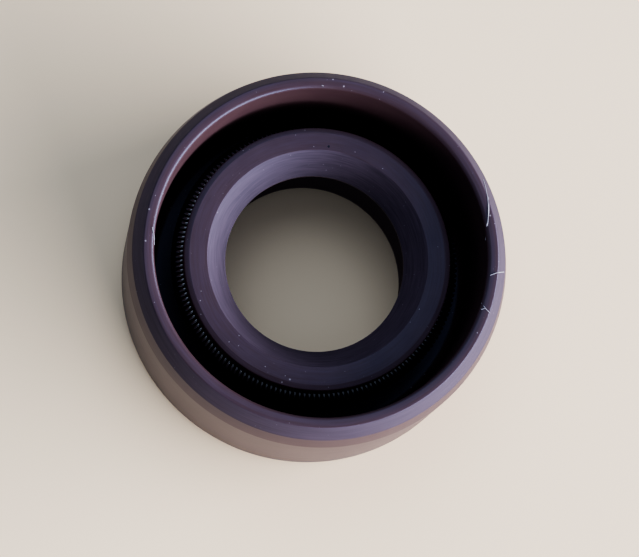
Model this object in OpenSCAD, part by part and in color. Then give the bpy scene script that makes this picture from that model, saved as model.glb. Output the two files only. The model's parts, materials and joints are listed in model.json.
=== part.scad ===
// Rotary shaft seal: a rubber ring with a sprung lip that grips a turning shaft.
// The seal stands on its flat back, its axis is Z, and the spring side faces up. Sizes are in mm.

/* [Fits] */
// Diameter of the shaft that turns inside the seal
shaft_d = 12; // [11:0.1:12.5]
// Diameter of the housing hole that the outside is pressed into
housing_d = 24; // [23.5:0.1:28]
// Width from the flat back to the front of the rim
width = 10; // [9:0.1:13]

/* [Rim edges] */
// Length of the slight lead-in taper on the outside wall
taper_length = 1.2; // [0.6:0.1:1.6]
// How much the taper takes off the radius
taper_drop = 0.28; // [0.1:0.02:0.4]
// Length of the bevel round the front of the rim, along the axis
bevel_length = 1.05; // [0.6:0.05:1.4]
// How much the bevel takes off the radius
bevel_drop = 0.64; // [0.4:0.02:0.75]
// Rounding where the outside wall meets the flat back
base_round = 0.4; // [0.1:0.05:0.6]
// Width of the part of the rim's front that dips towards the mouth
crown_w = 0.45; // [0.2:0.05:0.5]
// How far the front dips there
crown_drop = 0.05; // [0.02:0.01:0.08]
// Rounding of the edge at the mouth of the rim
mouth_round = 0.2; // [0.05:0.05:0.25]
// Rounding of the lines between wall, taper, bevel and front
line_round = 0.12; // [0:0.02:0.15]

/* [Sealing lip] */
// How much smaller than the shaft the lip is before the shaft goes in, across the diameter
lip_grip = 0.6; // [0.2:0.1:1]
// Width of the band at the lip's edge that touches the shaft
lip_land = 0.2; // [0.1:0.05:0.4]
// How far the lip's front face lies behind the front of the rim
head_setback = 2.2; // [1.8:0.1:2.6]
// Length of the oil-side cone along the axis, from the sealing edge to the front face
cone_length = 1.9; // [1.7:0.05:2.1]
// How much the oil-side cone opens out, along the radius
cone_run = 1.28; // [1.1:0.02:1.4]
// Width of the lip's front along the radius, with the bevel round its outside
face_w = 1.47; // [1.3:0.01:1.7]
// Width of the bevel round the outside of the front
head_bevel_w = 0.35; // [0.2:0.05:0.45]
// Height of that bevel
head_bevel_h = 0.2; // [0.1:0.05:0.3]
// Rounding of the two edges of that bevel
head_round = 0.12; // [0:0.02:0.15]
// Angle of the air-side cone to the axis, in degrees
air_angle = 25; // [23:1:30]
// How far outside the sealing edge the thin web starts, along the radius
web_run = 1.05; // [0.9:0.05:1.15]
// Thickness of the web that lets the lip follow the shaft
web_t = 0.9; // [0.7:0.05:1]
// Radius of the curve on the outside of the web
web_round_out = 1.5; // [0.5:0.1:2]
// Radius of the curve on the inside of the web
web_round_in = 1.2; // [0.5:0.1:2]

/* [Garter spring] */
// Outside diameter of the coil
coil_d = 1.5; // [1.3:0.05:1.6]
// Diameter of the wire, which is the wall of the close-wound coil
wire_d = 0.25; // [0.15:0.05:0.35]
// How far the middle of the coil lies behind the sealing edge
spring_drop = 0.05; // [0:0.05:0.2]
// How much larger the groove's radius is than the coil's
groove_gap = 0.02; // [0:0.01:0.06]
// Depth of the small shoulder under the groove
groove_edge = 0.08; // [0.04:0.02:0.14]
// How far that shoulder lies inside the middle of the coil
shoulder_inset = 0.35; // [0.25:0.05:0.45]

/* [Steel insert] */
// Thickness of the pressed steel sheet
insert_t = 0.7; // [0.5:0.05:0.9]
// Rubber between the steel and the outside wall
cover_outside = 0.6; // [0.4:0.05:0.9]
// Rubber between the steel and the inside of the rim
cover_inside = 0.3; // [0.2:0.05:0.5]
// Rubber between the steel and the flat back
cover_back = 0.6; // [0.5:0.05:0.8]
// Rubber between the steel and the floor of the ring-shaped hollow
cover_floor = 0.7; // [0.5:0.05:0.9]
// Rubber in front of the steel's free edge
cover_front = 1.5; // [1.3:0.1:2.5]
// Rubber between the inside of the web's foot and the steel's inner edge
cover_end = 0.9; // [0.7:0.05:1.2]
// Inside radius of the bend in the steel
bend_in = 0.2; // [0.1:0.05:0.5]

/* [Base and dust lip] */
// Gap from the shaft to the inside of the web's foot
foot_gap = 1; // [0.9:0.05:1.2]
// Gap from the shaft to the tip of the dust lip
dust_gap = 0.25; // [0.05:0.05:0.35]
// Width of the dust lip's tip along the axis
dust_tip = 0.23; // [0.15:0.02:0.35]
// Height of the dust lip's tip above the flat back
dust_lift = 0.42; // [0.3:0.02:0.6]
// Depth of the dished recess between the flat back and the dust lip
recess_h = 1.05; // [1:0.05:1.2]
// Width of the slope at the outside of that recess
recess_w = 0.5; // [0.3:0.05:0.6]
// Thickness of the dust lip at its root
dust_root = 0.85; // [0.7:0.05:0.95]
// Radius of the curve above the root of the dust lip
dust_round = 0.3; // [0.1:0.05:0.5]
// Radius of the fillet in the dished recess
recess_fillet = 0.15; // [0.05:0.05:0.25]
// How much the inside of the rim narrows towards its floor, as draft for the mould
draft = 0.1; // [0:0.02:0.2]
// Radius of the fillets in the floor of the ring-shaped hollow
floor_fillet = 0.5; // [0.2:0.05:0.6]

/* [Hidden] */
$fn = 144;
// Straight steps in a rounded corner, and the most of a side that one corner may take
arc_steps = 8;
side_share = 0.48;
// Rounding of small edges
edge_break = 0.1;

// Radii, from the shaft outwards
lip_r = (shaft_d - lip_grip) / 2;
tip_r = shaft_d / 2 + dust_gap;
foot_r = shaft_d / 2 + foot_gap;
waist_r = lip_r + web_run;
face_r = lip_r + cone_run;
head_r = face_r + face_w;
housing_r = housing_d / 2;
leg_out = housing_r - cover_outside;
leg_in = leg_out - insert_t;
mouth_r = leg_in - cover_inside;

// Heights above the flat back
head_z = width - head_setback;
lip_z = head_z - cone_length;
waist_z = lip_z - web_run / tan(air_angle);
groove_z = lip_z - spring_drop;
flange_top = cover_back + insert_t;
floor_z = flange_top + cover_floor;
leg_top = width - cover_front;
bevel_z = width - bevel_length;
taper_z = bevel_z - taper_length;

// The groove's middle is under the outside of the head, and the spring rests on the groove's inside
coil_r = coil_d / 2;
groove_size = coil_r + groove_gap;
spring_r = head_r - groove_gap;

// Corners are [radius, height, rounding], in order round the section
rubber_corners = [
    [foot_r + recess_w, 0, edge_break],
    [housing_r, 0, base_round],
    [housing_r, taper_z, line_round],
    [housing_r - taper_drop, bevel_z, line_round],
    [housing_r - taper_drop - bevel_drop, width, line_round],
    [mouth_r + crown_w, width, line_round],
    [mouth_r, width - crown_drop, mouth_round],
    [mouth_r - draft, floor_z, floor_fillet],
    [foot_r + web_t, floor_z, floor_fillet],
    [waist_r + web_t, waist_z, web_round_out],
    [head_r - shoulder_inset, groove_z - groove_size - groove_edge, edge_break],
    [head_r, groove_z, 0],
    [head_r, head_z - head_bevel_h, head_round],
    [head_r - head_bevel_w, head_z, head_round],
    [face_r, head_z, edge_break],
    [lip_r, lip_z + lip_land / 2, 0],
    [lip_r, lip_z - lip_land / 2, 0],
    [waist_r, waist_z, web_round_in],
    [foot_r, recess_h + dust_root, dust_round],
    [tip_r, dust_lift + dust_tip, 0],
    [tip_r, dust_lift, 0],
    [foot_r, recess_h, recess_fillet]
];
insert_corners = [
    [foot_r + cover_end, cover_back, edge_break],
    [leg_out, cover_back, bend_in + insert_t],
    [leg_out, leg_top, edge_break],
    [leg_in, leg_top, edge_break],
    [leg_in, flange_top, bend_in],
    [foot_r + cover_end, flange_top, edge_break]
];

function spot(corner) = [corner[0], corner[1]];
function unit(v) = v / norm(v);

// Short arc in place of one corner, kept inside the two sides that meet there
function arc(before, here, after, size) =
    let (
        back = unit(before - here),
        ahead = unit(after - here),
        half = acos(back * ahead) / 2,
        most = side_share * min(norm(before - here), norm(after - here)),
        cut = min(size / tan(half), most),
        middle = here + unit(back + ahead) * cut / cos(half),
        first = here + back * cut - middle,
        start = atan2(first[1], first[0]),
        turn = (cross(back, ahead) > 0 ? -1 : 1) * (180 - 2 * half)
    )
    [for (i = [0 : arc_steps])
        let (a = start + turn * i / arc_steps)
        middle + norm(first) * [cos(a), sin(a)]];

function rounded(corners) =
    let (n = len(corners))
    [for (i = [0 : n - 1])
        let (here = spot(corners[i]), size = corners[i][2])
        each size > 0
            ? arc(spot(corners[(i + n - 1) % n]), here, spot(corners[(i + 1) % n]), size)
            : [here]];

module steel_ring()
    rotate_extrude() polygon(rounded(insert_corners));

module spring_ring(size, at)
    translate([0, 0, groove_z]) rotate_extrude() translate([at, 0]) circle(r = size);

// Moulded rubber: cover, web, sealing lip and dust lip in one piece, moulded round the steel
module rubber_body() color([0.36, 0.2, 0.19])
    difference() {
        rotate_extrude() polygon(rounded(rubber_corners));
        steel_ring();
        spring_ring(groove_size, head_r);
    }

// Pressed steel ring that stiffens the rim and the base
module steel_insert() color([0.62, 0.64, 0.66])
    steel_ring();

// Close-wound coil joined into a ring, which pulls the sealing edge onto the shaft
module garter_spring() color([0.78, 0.78, 0.8])
    difference() {
        spring_ring(coil_r, spring_r);
        spring_ring(coil_r - wire_d, spring_r);
    }

rubber_body();
steel_insert();
garter_spring();
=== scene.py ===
# %% [markdown]
# # A rotary shaft seal
# This seal keeps the oil in a machine at the place where a turning shaft comes out of its housing.
# It has three pieces: a moulded rubber body, a pressed steel ring hidden inside that rubber, and a
# fine coil spring that pulls the sealing lip onto the shaft.
# The solids of the three pieces are loaded first and stay where they are. Everything modelled below
# has the same origin: the middle of the flat back, with the axis along Z.

# %% Load the solids
import json
import math

import bmesh
import bpy
from mathutils import Euler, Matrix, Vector


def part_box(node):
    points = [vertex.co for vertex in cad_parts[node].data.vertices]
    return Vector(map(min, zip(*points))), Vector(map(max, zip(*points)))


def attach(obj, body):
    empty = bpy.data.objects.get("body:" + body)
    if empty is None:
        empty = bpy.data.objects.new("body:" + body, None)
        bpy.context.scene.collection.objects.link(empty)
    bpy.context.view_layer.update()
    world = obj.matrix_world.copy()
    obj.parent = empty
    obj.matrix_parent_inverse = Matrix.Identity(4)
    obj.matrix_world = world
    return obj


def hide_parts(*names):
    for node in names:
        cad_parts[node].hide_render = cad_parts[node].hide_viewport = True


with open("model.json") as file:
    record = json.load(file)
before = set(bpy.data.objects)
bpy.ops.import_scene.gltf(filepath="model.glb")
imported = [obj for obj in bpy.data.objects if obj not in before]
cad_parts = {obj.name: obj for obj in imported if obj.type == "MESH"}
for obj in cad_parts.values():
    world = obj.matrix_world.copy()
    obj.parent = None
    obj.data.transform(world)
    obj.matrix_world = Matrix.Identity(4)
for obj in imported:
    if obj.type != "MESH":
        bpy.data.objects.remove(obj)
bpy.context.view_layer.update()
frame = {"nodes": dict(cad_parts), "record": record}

print("solids:", sorted(frame["nodes"]))

# %% [markdown]
# ## Sizes
# The shapes are drawn in millimetres, because a mould maker thinks in them, and because the bevel
# tool treats anything below a tenth of a millimetre as nothing when it is given in metres. Each
# finished mesh is then shrunk to metres. The outside sizes come from the loaded solids and from the
# places where the shaft and the housing fit. A name with round, break, bend or fillet in it is the
# radius of a rounded corner.

# %% Sizes that the solids give
MM = 0.001
mounts = {mount["name"]: mount for mount in frame["record"]["mounts"]}
housing_r = mounts["housing_seat"]["dims"]["r_mm"]
lip_r = mounts["shaft_lip"]["dims"]["r_mm"]
lip_land = mounts["shaft_lip"]["dims"]["length_mm"]
lip_z = mounts["shaft_lip"]["pos_m"][2] / MM
width = round(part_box("rubber_body")[1].z / MM, 2)
insert_low, insert_high = (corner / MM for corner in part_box("steel_insert"))
print(f"outside {2 * housing_r} mm, width {width} mm, free lip {2 * lip_r} mm")

# %% Sizes of the rim
taper_length, taper_drop = 1.2, 0.28
bevel_length, bevel_drop = 1.05, 0.64
crown_w, crown_drop = 0.45, 0.05
rim_wall = 1.6
draft = 0.1
floor_z = 2.0
base_round, taper_round, line_round = 0.4, 0.5, 0.12
crown_round, mouth_round, floor_fillet = 0.6, 0.28, 0.5
bevel_z = width - bevel_length
taper_z = bevel_z - taper_length
bevel_r = housing_r - taper_drop - bevel_drop
mouth_r = housing_r - rim_wall
print(f"the rim's front runs from {mouth_r:.2f} to {bevel_r:.2f} mm out from the axis")

# %% Sizes of the lip and its web
cone_length, cone_run = 1.9, 1.28
face_w = 1.47
head_bevel_w, head_bevel_h = 0.35, 0.1
web_run, web_t = 1.05, 0.9
air_angle = math.radians(25)
head_round, face_round = 0.12, 0.06
web_round_out, web_round_in = 1.5, 1.2
head_z = lip_z + cone_length
face_r = lip_r + cone_run
head_r = face_r + face_w
waist_r = lip_r + web_run
waist_z = lip_z - web_run / math.tan(air_angle)
print(f"the lip's head lies {width - head_z:.1f} mm behind the rim's front")

# %% Sizes of the foot and the dust lip
foot_r, tip_r = 7.0, 6.25
tip_low, tip_high = 0.42, 0.65
recess_h, recess_w = 1.05, 0.5
dust_root = 0.85
edge_break, dust_round, recess_fillet = 0.1, 0.3, 0.15
print(f"the tip of the dust lip lies {tip_r - lip_r:.2f} mm outside the sealing edge")


# %% Sizes of the spring and its groove
def at(radius, height):
    """A point of the section, which lies in the XZ plane."""
    return Vector((radius, 0.0, height))


coil_d, wire_d = 1.5, 0.25
turns = 175
spring_drop = 0.05
groove_gap, groove_edge = 0.02, 0.08
shoulder_inset, shoulder_round = 0.35, 0.06
groove_z = lip_z - spring_drop
groove_size = coil_d / 2 + groove_gap
groove_middle = at(head_r, groove_z)
shoulder = at(head_r - shoulder_inset, groove_z - groove_size - groove_edge)
spring_r = head_r - groove_gap
print(f"spring ring {2 * spring_r:.2f} mm across, {math.tau * spring_r / turns:.3f} mm from turn to turn")

# %% [markdown]
# ## The section, pulled out corner by corner
# On the real part the steel of the mould is turned on a lathe, so the rubber is a section swept
# round an axis. It could be cut from a cylinder with many insets, but drawing the section and
# turning it once gives exact edges. One vertex is pulled from corner to corner, the corners are
# rounded with a vertex bevel, and the spring's groove is drawn by spinning the last vertex about
# the middle of the coil.

# %% Helpers that draw a section
NEAR = 0.0005


def start_section(name, first):
    """A new mesh of one vertex: a small square merged to its middle and moved to its place."""
    bpy.ops.object.select_all(action="DESELECT")
    bpy.ops.mesh.primitive_plane_add(size=1)
    piece = bpy.context.object
    piece.name = piece.data.name = name
    bpy.ops.object.mode_set(mode="EDIT")
    bpy.ops.mesh.select_mode(type="VERT")
    bpy.ops.mesh.merge(type="CENTER")
    bpy.ops.transform.translate(value=first)
    return piece


def pull(places):
    """Pulls the selected vertex from the first place to each of the others."""
    for here, there in zip(places, places[1:]):
        bpy.ops.mesh.extrude_vertices_move(TRANSFORM_OT_translate={"value": there - here})


def select_at(piece, places):
    """Selects the vertices that lie at the given places, and nothing else."""
    bpy.ops.mesh.select_all(action="DESELECT")
    mesh = bmesh.from_edit_mesh(piece.data)
    for vertex in mesh.verts:
        vertex.select = any((vertex.co - place).length < NEAR for place in places)
    mesh.select_flush(True)
    bmesh.update_edit_mesh(piece.data)


def close_section(piece, first, last):
    """Joins the two open ends of the section with an edge."""
    select_at(piece, [first, last])
    bpy.ops.mesh.edge_face_add()


print(f"places within {NEAR} mm count as the same")

# %% Helper that rounds the corners
ROUND_STEPS = 6


def round_corners(piece, corners):
    """Rounds each corner that has a radius. The bevel asks how far to cut back, not for the radius."""
    for index, (here, radius) in enumerate(corners):
        if radius:
            before = corners[index - 1][0]
            after = corners[(index + 1) % len(corners)][0]
            half = (before - here).angle(after - here) / 2
            select_at(piece, [here])
            bpy.ops.mesh.bevel(
                offset=radius / math.tan(half), segments=ROUND_STEPS, affect="VERTICES", clamp_overlap=False
            )
    print(piece.name, "has", sum(radius > 0 for here, radius in corners), "rounded corners")


print("a corner is rounded in", ROUND_STEPS, "steps")

# %% [markdown]
# ## Turning the section into a ring
# Spin copies the section round the axis and joins the copies with faces. The last copy falls on the
# first, so doubles are merged, and only then can Blender tell which side of the closed skin is out.

# %% Helpers that finish a ring
RING_STEPS = 360
SMOOTH_BELOW = math.radians(24)


def turn_round_axis():
    """Spins the section in hand once round Z and leaves a closed skin that faces outwards."""
    bpy.ops.mesh.select_all(action="SELECT")
    bpy.ops.mesh.spin(steps=RING_STEPS, angle=math.tau, center=(0, 0, 0), axis=(0, 0, 1))
    bpy.ops.mesh.select_all(action="SELECT")
    bpy.ops.mesh.remove_doubles(threshold=NEAR)
    bpy.ops.mesh.normals_make_consistent(inside=False)
    bpy.ops.object.mode_set(mode="OBJECT")


def select_only(*pieces):
    """Selects these pieces and nothing else. The last one becomes the active piece."""
    bpy.ops.object.select_all(action="DESELECT")
    for piece in pieces:
        piece.select_set(True)
    bpy.context.view_layer.objects.active = pieces[-1]


def finish_piece(piece, smooth_below=SMOOTH_BELOW):
    """Shrinks a piece from millimetres to metres, shades its gentle edges smooth and measures it."""
    select_only(piece)
    piece.scale = (MM, MM, MM)
    bpy.ops.object.transform_apply(location=True, rotation=True, scale=True)
    bpy.ops.object.shade_smooth_by_angle(angle=smooth_below)
    mesh = bmesh.new()
    mesh.from_mesh(piece.data)
    open_edges = sum(len(edge.link_faces) != 2 for edge in mesh.edges)
    mesh.free()
    print(piece.name, len(piece.data.polygons), "faces,", open_edges, "open edges")


print("a ring has", RING_STEPS, "steps")

# %% [markdown]
# ## The rubber body
# Cover, web, sealing lip and dust lip come out of the mould as one piece of brown fluororubber. The
# corners run outwards along the flat back, up the outside, over the rim, down into the ring-shaped
# hollow and up the web to the spring's groove. After the groove they go over the lip's head, down
# to the sealing edge and back along the air side to the dust lip. The sealing edge and the tip of
# the dust lip are trimmed sharp on the real seal, so they stay unrounded.

# %% Corners of the rubber, each with its rounding
groove_start = groove_middle + (shoulder - groove_middle).normalized() * groove_size
groove_end = groove_middle + at(0, groove_size)
outside_corners = [
    (at(foot_r + recess_w, 0), edge_break),
    (at(housing_r, 0), base_round),
    (at(housing_r, taper_z), taper_round),
    (at(housing_r - taper_drop, bevel_z), line_round),
    (at(bevel_r, width), line_round),
    (at(mouth_r + crown_w, width), crown_round),
    (at(mouth_r, width - crown_drop), mouth_round),
    (at(mouth_r - draft, floor_z), floor_fillet),
    (at(foot_r + web_t, floor_z), floor_fillet),
    (at(waist_r + web_t, waist_z), web_round_out),
    (shoulder, shoulder_round),
    (groove_start, 0),
]
inside_corners = [
    (groove_end, 0),
    (at(head_r, head_z - head_bevel_h), head_round),
    (at(head_r - head_bevel_w, head_z), head_round),
    (at(face_r, head_z), face_round),
    (at(lip_r, lip_z + lip_land / 2), 0),
    (at(lip_r, lip_z - lip_land / 2), 0),
    (at(waist_r, waist_z), web_round_in),
    (at(foot_r, recess_h + dust_root), dust_round),
    (at(tip_r, tip_high), 0),
    (at(tip_r, tip_low), 0),
    (at(foot_r, recess_h), recess_fillet),
]
print(len(outside_corners) + len(inside_corners), "corners and one groove")

# %% Draw the rubber's section, round its corners and turn it
GROOVE_STEPS = 28
groove_sweep = (groove_start - groove_middle).angle(groove_end - groove_middle)
outside = [place for place, rounding in outside_corners]
inside = [place for place, rounding in inside_corners]
rubber = start_section("moulded_rubber", outside[0])
pull(outside)
bpy.ops.mesh.spin(steps=GROOVE_STEPS, angle=groove_sweep, center=groove_middle, axis=(0, -1, 0))
pull(inside)
close_section(rubber, outside[0], inside[-1])
round_corners(rubber, outside_corners + inside_corners)
turn_round_axis()
print(f"groove sweeps {math.degrees(groove_sweep):.1f} degrees")

# %% [markdown]
# ## The hollow for the steel ring
# The rubber is moulded round a pressed steel ring, so the rubber has a hollow of that ring's shape.
# It is never seen, but without it the two meshes would fill the same space. The hollow is drawn and
# turned like the body, its skin is turned to face inwards, and it is joined to the body.

# %% Draw and turn the hollow
sheet_t = 0.7
bend_in = 0.2
bend_out = bend_in + sheet_t
cover_end = 0.9
hollow_corners = [
    (at(foot_r + cover_end, insert_low.z), edge_break),
    (at(insert_high.x, insert_low.z), bend_out),
    (at(insert_high.x, insert_high.z), edge_break),
    (at(insert_high.x - sheet_t, insert_high.z), edge_break),
    (at(insert_high.x - sheet_t, insert_low.z + sheet_t), bend_in),
    (at(foot_r + cover_end, insert_low.z + sheet_t), edge_break),
]
hollow_places = [place for place, rounding in hollow_corners]
hollow = start_section("hollow", hollow_places[0])
pull(hollow_places)
close_section(hollow, hollow_places[0], hollow_places[-1])
round_corners(hollow, hollow_corners)
turn_round_axis()

# %% Turn its skin inwards and join it to the rubber
bpy.ops.object.mode_set(mode="EDIT")
bpy.ops.mesh.select_all(action="SELECT")
bpy.ops.mesh.flip_normals()
bpy.ops.object.mode_set(mode="OBJECT")
select_only(hollow, rubber)
bpy.ops.object.join()
finish_piece(rubber)

# %% [markdown]
# ## The garter spring
# Garter springs are close-wound coils of hard-drawn wire whose ends screw into each other, so the
# finished ring has no visible ends. One turn is modelled from a circle of wire with a Screw
# modifier, and an Array then carries it round the ring. Bending a long straight coil would do too,
# but a single turn keeps its round section and meets its neighbour exactly.

# %% One turn of wire
WIRE_SIDES = 6
TURN_STEPS = 10
turn_angle = math.tau / turns
pitch = 2 * spring_r * math.tan(turn_angle / 2)
bpy.ops.object.select_all(action="DESELECT")
bpy.ops.mesh.primitive_circle_add(
    vertices=WIRE_SIDES, radius=wire_d / 2, rotation=(0, math.pi / 2, 0)
)
spring = bpy.context.object
spring.name = spring.data.name = "coiled_spring"
bpy.ops.object.transform_apply(rotation=True)
bpy.ops.object.mode_set(mode="EDIT")
bpy.ops.transform.translate(value=(0, 0, (coil_d - wire_d) / 2))
bpy.ops.object.mode_set(mode="OBJECT")
screw = spring.modifiers.new("one_turn", "SCREW")
screw.axis = "Y"
screw.screw_offset = pitch
screw.steps = screw.render_steps = TURN_STEPS
bpy.ops.object.modifier_apply(modifier=screw.name)
spring.location = (spring_r, -pitch / 2, groove_z)
bpy.ops.object.transform_apply(location=True)
print(f"one turn climbs {pitch:.3f} mm")

# %% Carry the turn round the ring
MERGE_ENDS = 0.02
WIRE_SMOOTH = math.radians(80)
bpy.ops.object.empty_add(rotation=(0, 0, turn_angle))
next_turn = bpy.context.object
select_only(spring)
ring = spring.modifiers.new("ring_of_turns", "ARRAY")
ring.count = turns
ring.use_relative_offset = False
ring.use_object_offset = True
ring.offset_object = next_turn
bpy.ops.object.modifier_apply(modifier=ring.name)
bpy.data.objects.remove(next_turn)
bpy.ops.object.mode_set(mode="EDIT")
bpy.ops.mesh.select_all(action="SELECT")
bpy.ops.mesh.remove_doubles(threshold=MERGE_ENDS)
bpy.ops.mesh.normals_make_consistent(inside=False)
bpy.ops.object.mode_set(mode="OBJECT")
finish_piece(spring, WIRE_SMOOTH)

# %% [markdown]
# ## Lint on the rim
# Rubber draws lint, and this seal has a few pale cotton fibres stuck to its rim. Each one is a curve
# through a few places on the rim, given a round section and made a mesh. A real fibre is 0.02 mm
# thick, which is less than a pixel, so these are drawn half as thick again. They lie with a part of
# their thickness in the rubber's skin, as if pressed on.

# %% Where the fibres lie: radius, angle in degrees and height of each bend
fibre_paths = [
    [(11.38, 55.6, 9.53), (11.15, 51.6, 9.92), (10.92, 46.7, 10.0), (10.62, 41.1, 9.98), (10.37, 35.5, 9.6)],
    [(11.12, 49.4, 9.95), (10.83, 44.4, 10.0), (10.50, 39.9, 9.95)],
    [(10.60, 22.8, 9.98), (10.99, 23.9, 10.0), (11.28, 24.6, 9.69), (11.60, 25.4, 9.17)],
    [(10.42, 12.9, 9.82), (10.74, 11.4, 10.0), (11.10, 10.5, 9.97)],
    [(10.52, 10.6, 9.94), (10.74, 11.4, 10.01)],
    [(10.62, -156.4, 9.99), (10.44, -153.6, 9.86), (10.38, -151.0, 9.45)],
    [(10.54, 119.6, 9.97), (10.60, 120.2, 9.98)],
]
print(len(fibre_paths), "fibres")

# %% Lay the fibres
FIBRE_D = 0.032
FIBRE_LIFT = FIBRE_D / 3
SIDE_STEPS = 2
FIBRE_SMOOTH = math.radians(60)


def lay_fibre(path):
    """A smooth round thread through the places of one path."""
    bpy.ops.object.select_all(action="DESELECT")
    bpy.ops.curve.primitive_bezier_curve_add()
    thread = bpy.context.object
    spline = thread.data.splines[0]
    spline.bezier_points.add(len(path) - len(spline.bezier_points))
    for knot, (radius, angle, height) in zip(spline.bezier_points, path):
        turn = math.radians(angle)
        knot.co = (radius * math.cos(turn), radius * math.sin(turn), height + FIBRE_LIFT)
        knot.handle_left_type = knot.handle_right_type = "AUTO"
    thread.data.bevel_depth = FIBRE_D / 2
    thread.data.bevel_resolution = SIDE_STEPS
    thread.data.use_fill_caps = True
    bpy.ops.object.convert(target="MESH")
    return bpy.context.object


lint, *other_threads = [lay_fibre(path) for path in fibre_paths]
select_only(*other_threads, lint)
bpy.ops.object.join()
lint.name = lint.data.name = "lint_fibres"
bpy.ops.object.mode_set(mode="EDIT")
bpy.ops.mesh.select_all(action="SELECT")
bpy.ops.mesh.remove_doubles(threshold=NEAR)
bpy.ops.mesh.normals_make_consistent(inside=False)
bpy.ops.object.mode_set(mode="OBJECT")
finish_piece(lint, FIBRE_SMOOTH)

# %% [markdown]
# ## Colours and nodes
# Colours are written as they look on a screen, as sRGB hex values, and one function turns them into
# the linear values that the renderer uses. Another adds a shader node with its settings, its input
# values and its links, so that each material below reads as a list of steps. The Mix node has
# several sockets of the same name, so its sockets for colours go by their numbers.

# %% Helpers for materials
SHARE, FIRST, SECOND, MIXED = 0, 6, 7, 2


def colour(code):
    """Linear colour from an sRGB hex value."""
    parts = [int(code[i:i + 2], 16) / 255 for i in (1, 3, 5)]
    return (*(c / 12.92 if c <= 0.04045 else ((c + 0.055) / 1.055) ** 2.4 for c in parts), 1.0)


def add(tree, kind, values=None, links=None, **settings):
    """Adds a node, sets its properties and input values, and links sockets into its inputs."""
    made = tree.nodes.new(kind)
    for name, value in settings.items():
        setattr(made, name, value)
    for name, value in (values or {}).items():
        made.inputs[name].default_value = value
    for name, source in (links or {}).items():
        tree.links.new(source, made.inputs[name])
    return made


def new_material(name):
    """A material with its node tree and its main shader."""
    material = bpy.data.materials.new(name)
    material.use_nodes = True
    return material, material.node_tree, material.node_tree.nodes["Principled BSDF"]


def dress(piece, material):
    """Gives a piece one material all over."""
    piece.data.materials.clear()
    piece.data.materials.append(material)
    print(piece.name, "wears", material.name, "of", len(material.node_tree.nodes), "nodes")


print("mid grey is", round(colour("#808080")[0], 3), "in linear light")

# %% [markdown]
# ## Brown fluororubber, compression moulded
# The compound is coloured with iron oxide and carbon, so it is a dark plum brown. It takes on the
# finish of the mould, which was turned on a lathe: satin, with faint rings round the axis. The first
# step of the material is to know where a point lies, in millimetres: how far out from the axis, how
# high, and whether the surface there faces up.

# %% Rubber: where a point lies
rubber_finish, tree, rubber_shader = new_material("brown_fluororubber_moulded")
place = add(tree, "ShaderNodeTexCoord").outputs["Object"]
place_mm = add(
    tree, "ShaderNodeVectorMath", {"Scale": 1 / MM}, {0: place}, operation="SCALE"
).outputs["Vector"]
across = add(
    tree, "ShaderNodeVectorMath", {1: (1, 1, 0)}, {0: place_mm}, operation="MULTIPLY"
).outputs["Vector"]
radius_mm = add(tree, "ShaderNodeVectorMath", links={0: across}, operation="LENGTH").outputs["Value"]
height_mm = add(tree, "ShaderNodeSeparateXYZ", links={0: place_mm}).outputs["Z"]
normal = add(tree, "ShaderNodeNewGeometry").outputs["Normal"]
normal_up = add(tree, "ShaderNodeSeparateXYZ", links={0: normal}).outputs["Z"]
facing_up = add(
    tree, "ShaderNodeMapRange", {"From Min": 0.35, "From Max": 0.95}, {0: normal_up}
).outputs[0]
print(len(tree.nodes), "nodes tell where a point lies")

# %% [markdown]
# The turning marks are noise stretched round the axis. It is sampled on a circle, so that it has no
# seam, and the circle's size says how many times the marks change on their way round. Real marks are
# about 0.02 mm apart, too fine for the picture, so they are drawn at 0.1 mm. A slow mottling comes
# from uneven curing, and a fine grain from the filler.

# %% Rubber: turning marks, mottling and grain
MARK_MM = 0.1
MARKS_ROUND = 4
MOTTLE_MM = 1.6
GRAIN_MM = 0.14
direction = add(tree, "ShaderNodeVectorMath", links={0: across}, operation="NORMALIZE").outputs["Vector"]
circle_place = add(
    tree, "ShaderNodeVectorMath", {"Scale": MARKS_ROUND}, {0: direction}, operation="SCALE"
).outputs["Vector"]
on_circle = add(tree, "ShaderNodeSeparateXYZ", links={0: circle_place})
marks_out = add(tree, "ShaderNodeMath", {1: 1 / MARK_MM}, {0: radius_mm}, operation="MULTIPLY").outputs[0]
marks_up = add(tree, "ShaderNodeMath", {1: 1 / MARK_MM}, {0: height_mm}, operation="MULTIPLY").outputs[0]
mark_place = add(
    tree, "ShaderNodeCombineXYZ",
    links={0: on_circle.outputs["X"], 1: on_circle.outputs["Y"], 2: marks_out},
).outputs[0]
marks = add(
    tree, "ShaderNodeTexNoise", {"Scale": 1.0, "Detail": 2.0},
    {"Vector": mark_place, "W": marks_up}, noise_dimensions="4D",
).outputs["Fac"]
mottle = add(
    tree, "ShaderNodeTexNoise", {"Scale": 1 / MOTTLE_MM, "Detail": 4.0}, {"Vector": place_mm}
).outputs["Fac"]
grain = add(
    tree, "ShaderNodeTexNoise", {"Scale": 1 / GRAIN_MM, "Detail": 3.0}, {"Vector": place_mm}
).outputs["Fac"]
print(f"turning marks {MARK_MM} mm, mottling {MOTTLE_MM} mm and grain {GRAIN_MM} mm wide")

# %% [markdown]
# After moulding, a knife trims the lip's oil side and the bevel round the rim. The cut is matter than
# the moulded skin and has lost its brown: the cone is a purple grey, and the bevel a darker grey.
# Both places are found by their radius and height.

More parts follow.
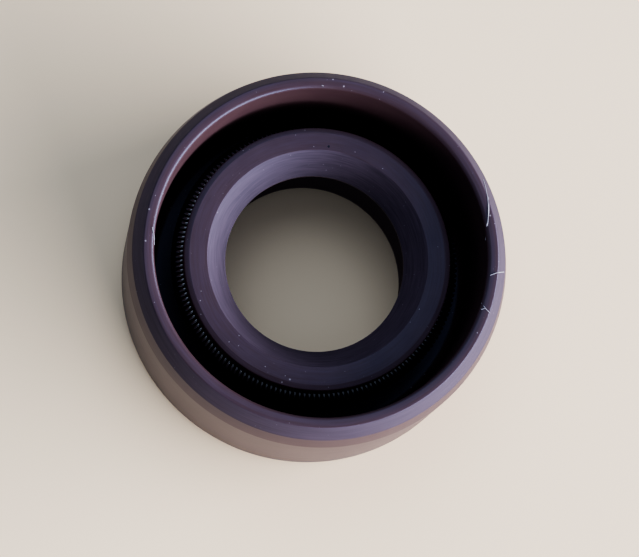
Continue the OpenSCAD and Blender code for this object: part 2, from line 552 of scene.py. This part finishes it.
# %% Rubber: where the knife has trimmed it
over_edge = add(tree, "ShaderNodeMath", {1: lip_z}, {0: height_mm}, operation="GREATER_THAN").outputs[0]
in_cone = add(tree, "ShaderNodeMath", {1: face_r}, {0: radius_mm}, operation="LESS_THAN").outputs[0]
cone = add(tree, "ShaderNodeMath", links={0: over_edge, 1: in_cone}, operation="MULTIPLY").outputs[0]
over_taper = add(tree, "ShaderNodeMath", {1: bevel_z}, {0: height_mm}, operation="GREATER_THAN").outputs[0]
past_front = add(tree, "ShaderNodeMath", {1: bevel_r}, {0: radius_mm}, operation="GREATER_THAN").outputs[0]
bevel = add(tree, "ShaderNodeMath", links={0: over_taper, 1: past_front}, operation="MULTIPLY").outputs[0]
trimmed = add(tree, "ShaderNodeMath", links={0: cone, 1: bevel}, operation="MAXIMUM").outputs[0]
print(f"trimmed inside {face_r:.2f} mm and outside {bevel_r:.2f} mm")

# %% [markdown]
# Dust settles on whatever faces up as specks, and as a thin pale film that lies in the turning marks. The
# film is also a painted bluish sheen, light from above painted onto the faces that look up, and it fades out
# towards the hollow as painted shade. The specks are the middles of the cells of a Voronoi pattern. Each
# cell draws its own speck size by chance, and many draw none. The place is shaken a little first, so that
# the specks aren't round. A real speck is about 0.03 mm across, too small to show, so they are drawn up to
# 0.14 mm across.

# %% Rubber: specks of dust
SPECK_CELLS_MM = (0.34, 0.8)
SPECK_RADII_MM = (0.04, 0.07)
SPECK_SHARES = (0.6, 0.4)
SHAKE_MM = 0.05
shake = add(
    tree, "ShaderNodeTexNoise", {"Scale": 1 / SHAKE_MM, "Detail": 1.0}, {"Vector": place_mm}
).outputs["Color"]
shaken = add(
    tree, "ShaderNodeVectorMath", {1: (SHAKE_MM, SHAKE_MM, SHAKE_MM)}, {0: shake, 2: place_mm},
    operation="MULTIPLY_ADD",
).outputs["Vector"]
specks = []
for cell_mm, most_mm, share in zip(SPECK_CELLS_MM, SPECK_RADII_MM, SPECK_SHARES):
    cells = add(tree, "ShaderNodeTexVoronoi", {"Scale": 1 / cell_mm}, {"Vector": shaken})
    luck = add(tree, "ShaderNodeSeparateColor", links={0: cells.outputs["Color"]}).outputs[0]
    size = add(
        tree, "ShaderNodeMapRange", {"From Min": 1 - share, "To Max": most_mm / cell_mm}, {0: luck}
    ).outputs[0]
    near_middle = add(
        tree, "ShaderNodeMath", links={0: cells.outputs["Distance"], 1: size}, operation="LESS_THAN"
    ).outputs[0]
    specks.append(near_middle)
any_speck = add(
    tree, "ShaderNodeMath", links={0: specks[0], 1: specks[1]}, operation="MAXIMUM"
).outputs[0]
speck = add(tree, "ShaderNodeMath", links={0: any_speck, 1: facing_up}, operation="MULTIPLY").outputs[0]
print(len(specks), "kinds of specks, up to", 2 * max(SPECK_RADII_MM), "mm across")

# %% Rubber: film of dust and painted sheen
# The film is partly dust and partly a painted bluish sheen of light from above. Below the lip's head it
# fades, which paints shade into the hollow.
film = add(
    tree, "ShaderNodeMapRange", {"From Min": 0.35, "From Max": 0.7, "To Max": 0.13}, {0: marks}
).outputs[0]
film_fade_into_hollow = add(
    tree, "ShaderNodeMapRange", {"From Min": groove_z, "From Max": head_z}, {0: height_mm}
).outputs[0]
film_up = add(tree, "ShaderNodeMath", links={0: film, 1: facing_up}, operation="MULTIPLY").outputs[0]
dust_film_and_sheen = add(tree, "ShaderNodeMath", links={0: film_up, 1: film_fade_into_hollow}, operation="MULTIPLY").outputs[0]
print(f"the film thins out below {head_z:.1f} mm and ends at {groove_z:.2f} mm")

# %% [markdown]
# The lip's front has one small dark spot. It is the inside of a small ball about a place on that front,
# again shaken so that it isn't round.

# %% Rubber: dark spot on the lip's front
# A small dark spot is painted on the lip's front.
SPOT_MM = 0.16
SPOT_R = 7.24
SPOT_TURN = math.radians(114.7)
spot_place = (
    SPOT_R * math.cos(SPOT_TURN) + SHAKE_MM / 2,
    SPOT_R * math.sin(SPOT_TURN) + SHAKE_MM / 2,
    head_z,
)
spot_distance = add(
    tree, "ShaderNodeVectorMath", {1: spot_place}, {0: shaken}, operation="DISTANCE"
).outputs["Value"]
dark_spot = add(tree, "ShaderNodeMath", {1: SPOT_MM / 2}, {0: spot_distance}, operation="LESS_THAN").outputs[0]
print("nick at", [round(c, 2) for c in spot_place])

# %% [markdown]
# The colours lie over each other: the moulded skin, the two trimmed places, the film of dust and painted
# sheen, the specks and the dark spot.

# %% Rubber: colour, from the skin outwards
moulded_colour = add(
    tree, "ShaderNodeMix", {FIRST: colour("#402d30"), SECOND: colour("#493738")}, {SHARE: mottle},
    data_type="RGBA",
).outputs[MIXED]
cone_colour = add(
    tree, "ShaderNodeMix", {FIRST: colour("#2f252b"), SECOND: colour("#564852")}, {SHARE: marks},
    data_type="RGBA",
).outputs[MIXED]
bevel_colour = add(
    tree, "ShaderNodeMix", {FIRST: colour("#34282f"), SECOND: colour("#4e414a")}, {SHARE: marks},
    data_type="RGBA",
).outputs[MIXED]
with_cone = add(
    tree, "ShaderNodeMix", links={SHARE: cone, FIRST: moulded_colour, SECOND: cone_colour}, data_type="RGBA"
).outputs[MIXED]
skin = add(
    tree, "ShaderNodeMix", links={SHARE: bevel, FIRST: with_cone, SECOND: bevel_colour}, data_type="RGBA"
).outputs[MIXED]
# The bluish pale film: dust, and a painted sheen of the light from above.
filmed_and_sheened = add(
    tree, "ShaderNodeMix", {SECOND: colour("#5d5472")}, {SHARE: dust_film_and_sheen, FIRST: skin}, data_type="RGBA"
).outputs[MIXED]
dusted = add(
    tree, "ShaderNodeMix", {SECOND: colour("#8a868e")}, {SHARE: speck, FIRST: filmed_and_sheened}, data_type="RGBA"
).outputs[MIXED]
spotted = add(
    tree, "ShaderNodeMix", {SECOND: colour("#0e0a0c")}, {SHARE: dark_spot, FIRST: dusted}, data_type="RGBA"
).outputs[MIXED]
tree.links.new(spotted, rubber_shader.inputs["Base Color"])
print("the rubber's colour is mixed in", sum(node.type == "MIX" for node in tree.nodes), "steps")

# %% [markdown]
# Fluororubber has an index of refraction near 1.4 when pure, and fillers raise it to about 1.5. Its
# reflection is tinted bluish where one looks straight at it: a painted reflection of bluish light from
# above. The marks and the grain are at most a fiftieth of a millimetre deep.

# %% Rubber: gloss and relief
TRIM_ROUGHER = 0.28
GRAIN_SHARE = 0.35
RELIEF_MM = 0.02
moulded_gloss = add(tree, "ShaderNodeMapRange", {"To Min": 0.36, "To Max": 0.45}, {0: marks}).outputs[0]
rougher = add(
    tree, "ShaderNodeMath", {1: TRIM_ROUGHER}, {0: trimmed, 2: moulded_gloss}, operation="MULTIPLY_ADD"
).outputs[0]
gloss = add(tree, "ShaderNodeMath", links={0: rougher, 1: speck}, operation="MAXIMUM").outputs[0]
tree.links.new(gloss, rubber_shader.inputs["Roughness"])
relief = add(
    tree, "ShaderNodeMath", {1: GRAIN_SHARE}, {0: grain, 2: marks}, operation="MULTIPLY_ADD"
).outputs[0]
bump = add(
    tree, "ShaderNodeBump", {"Strength": 0.12, "Distance": RELIEF_MM * MM}, {"Height": relief}
).outputs[0]
tree.links.new(bump, rubber_shader.inputs["Normal"])
rubber_shader.inputs["IOR"].default_value = 1.5
# The bluish specular tint is a painted reflection of bluish light from above.
rubber_shader.inputs["Specular Tint"].default_value = colour("#a9cbf6")
dress(rubber, rubber_finish)

# %% [markdown]
# ## Drawn spring wire, pressed sheet and cotton
# The spring is hard-drawn steel wire, which the die leaves smooth. Its colour is far darker than bare steel:
# painted shade for the little light that reaches it under the lip's head, so that only small glints show.
# The hidden ring is sheet steel with a grey phosphate coat of fine crystals, which the rubber bonds to. Lint
# is cotton: matt, and lighter where the fibre is loose.

# %% Spring wire
OIL_MM = 0.3
wire_finish, tree, wire_shader = new_material("hard_drawn_spring_steel")
place = add(tree, "ShaderNodeTexCoord").outputs["Object"]
oil = add(
    tree, "ShaderNodeTexNoise", {"Scale": 1 / (OIL_MM * MM), "Detail": 3.0}, {"Vector": place}
).outputs["Fac"]
wire_gloss = add(tree, "ShaderNodeMapRange", {"To Min": 0.08, "To Max": 0.2}, {0: oil}).outputs[0]
# The wire's colour is kept dark: painted shade for the little light that reaches the spring.
shaded_wire_colour = add(
    tree, "ShaderNodeMix", {FIRST: colour("#525355"), SECOND: colour("#67686a")}, {SHARE: oil},
    data_type="RGBA",
).outputs[MIXED]
tree.links.new(wire_gloss, wire_shader.inputs["Roughness"])
tree.links.new(shaded_wire_colour, wire_shader.inputs["Base Color"])
wire_shader.inputs["Metallic"].default_value = 1.0
dress(spring, wire_finish)

# %% Sheet steel of the hidden ring
PHOSPHATE_MM = 0.2
sheet_finish, tree, sheet_shader = new_material("phosphated_sheet_steel")
place = add(tree, "ShaderNodeTexCoord").outputs["Object"]
crystals = add(
    tree, "ShaderNodeTexNoise", {"Scale": 1 / (PHOSPHATE_MM * MM), "Detail": 4.0}, {"Vector": place}
).outputs["Fac"]
sheet_colour = add(
    tree, "ShaderNodeMix", {FIRST: colour("#56585a"), SECOND: colour("#6d7072")}, {SHARE: crystals},
    data_type="RGBA",
).outputs[MIXED]
sheet_gloss = add(tree, "ShaderNodeMapRange", {"To Min": 0.45, "To Max": 0.65}, {0: crystals}).outputs[0]
tree.links.new(sheet_colour, sheet_shader.inputs["Base Color"])
tree.links.new(sheet_gloss, sheet_shader.inputs["Roughness"])
sheet_shader.inputs["Metallic"].default_value = 0.8
dress(frame["nodes"]["steel_insert"], sheet_finish)

# %% Cotton of the lint
FLUFF_MM = 0.3
lint_finish, tree, lint_shader = new_material("bleached_cotton_lint")
place = add(tree, "ShaderNodeTexCoord").outputs["Object"]
fluff = add(
    tree, "ShaderNodeTexNoise", {"Scale": 1 / (FLUFF_MM * MM), "Detail": 2.0}, {"Vector": place}
).outputs["Fac"]
lint_colour = add(
    tree, "ShaderNodeMix", {FIRST: colour("#84868f"), SECOND: colour("#c3c6cf")}, {SHARE: fluff},
    data_type="RGBA",
).outputs[MIXED]
tree.links.new(lint_colour, lint_shader.inputs["Base Color"])
lint_shader.inputs["Roughness"].default_value = 0.9
dress(lint, lint_finish)

# %% [markdown]
# ## Floor, light and camera
# The seal lies on a plain pale surface. A wide soft light stands low on one side, as a window does:
# it lights the bevel there and the far side of the lip, and leaves the hollow black. A small soft
# light high on another side is a bright patch of sky: it glints on the turns of the spring that it
# can reach past the lip's head, and it falls through the bore onto the floor. A dim, even surround
# fills the shade. The camera looks down from 13 degrees off the axis, rolled as a hand-held camera
# is. A picture taken by hand has deeper shadows than Blender's default, so the high-contrast look is
# chosen.

# %% Floor
FLOOR_M = 4
bpy.ops.mesh.primitive_plane_add(size=FLOOR_M)
floor = bpy.context.object
floor.name = "floor"
floor_finish, tree, floor_shader = new_material("pale_board")
floor_shader.inputs["Base Color"].default_value = colour("#eedbb9")
floor_shader.inputs["Roughness"].default_value = 0.85
dress(floor, floor_finish)


# %% Lights
def soft_light(name, azimuth, elevation, distance, size, power, tint):
    """A rectangular soft light that looks at the middle of the seal. Angles are in degrees."""
    a, e = math.radians(azimuth), math.radians(elevation)
    towards = Vector((math.cos(a) * math.cos(e), math.sin(a) * math.cos(e), math.sin(e)))
    bpy.ops.object.light_add(type="AREA", location=towards * distance)
    lamp = bpy.context.object
    lamp.name = name
    lamp.rotation_euler = towards.to_track_quat("Z", "Y").to_euler()
    lamp.data.shape = "RECTANGLE"
    lamp.data.size, lamp.data.size_y = size
    lamp.data.energy = power
    lamp.data.color = colour(tint)[:3]
    print(f"{name}: {power} W from {elevation} degrees up")


soft_light("window", azimuth=6, elevation=17.5, distance=0.5, size=(1.0, 0.15), power=13.4, tint="#f6f3ff")
soft_light("sky", azimuth=131, elevation=60, distance=0.5, size=(0.38, 0.38), power=0.72, tint="#dce8ff")

# %% Surround and picture tone
SURROUND = 0.4
world = bpy.data.worlds.new("studio")
bpy.context.scene.world = world
world.use_nodes = True
background = world.node_tree.nodes["Background"]
background.inputs["Color"].default_value = colour("#d9e5ff")
background.inputs["Strength"].default_value = SURROUND
bpy.context.scene.view_settings.view_transform = "AgX"
bpy.context.scene.view_settings.look = "AgX - High Contrast"
print(f"surround {SURROUND}")

# %% Camera
PHOTO_WIDTH = 639
FOCAL_PIXELS = 2400
SENSOR_MM = 36
NEAREST_M = 0.01
camera_place = Vector((-0.05, -35.97, 154.07)) * MM
camera_turn = Euler((math.radians(13.40), math.radians(-0.30), math.radians(30.69)), "ZYX")
bpy.ops.object.camera_add(location=camera_place)
camera = bpy.context.object
camera.rotation_euler = camera_turn.to_matrix().to_euler()
camera.data.sensor_width = SENSOR_MM
camera.data.lens = SENSOR_MM * FOCAL_PIXELS / PHOTO_WIDTH
camera.data.clip_start = NEAREST_M
bpy.context.scene.camera = camera
print(f"lens {camera.data.lens:.1f} mm")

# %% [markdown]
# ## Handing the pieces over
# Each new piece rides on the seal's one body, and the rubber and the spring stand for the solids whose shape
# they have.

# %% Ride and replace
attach(rubber, "root")
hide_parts("rubber_body")
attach(spring, "root")
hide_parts("garter_spring")
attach(lint, "root")
